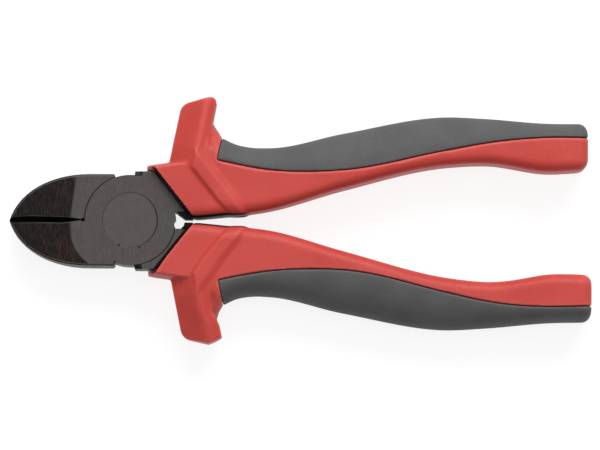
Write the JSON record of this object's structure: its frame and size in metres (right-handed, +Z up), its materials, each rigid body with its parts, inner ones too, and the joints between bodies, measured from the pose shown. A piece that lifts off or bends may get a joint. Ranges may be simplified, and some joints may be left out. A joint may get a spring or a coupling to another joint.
{
  "type": "side cutters",
  "caption": "Side cutters with a flush lap joint, short curved jaws and moulded insulated grips with finger guards and soft inlays.",
  "frame": {"origin": "on the bench, under the middle of the closed tool's box", "axes": "+X from the jaws to the handle ends, +Y across the tool towards the upper handle, +Z up from the bench"},
  "size_m": [0.1595, 0.0682, 0.018],
  "materials": {
    "lever_steel": "blackened, with finely ground jaw faces",
    "rivet_steel": "blackened, ground flush",
    "sleeve_black": "matt",
    "grip_red": "satin moulded",
    "inlay_grey": "soft matt"
  },
  "bodies": {
    "front_half": {"front_lever": "lever_steel", "pivot_rivet": "rivet_steel", "front_sleeve": "sleeve_black", "front_grip": "grip_red", "front_inlay": "inlay_grey"},
    "rear_half": {"rear_lever": "lever_steel", "rear_sleeve": "sleeve_black", "rear_grip": "grip_red", "rear_inlay": "inlay_grey"}
  },
  "joints": [
    {"name": "jaw_pivot", "type": "hinge", "parent": "front_half", "child": "rear_half", "pos_m": [-0.04645, 0, 0.009], "axis": [0, 0, -1], "range_deg": [0, 24]}
  ]
}
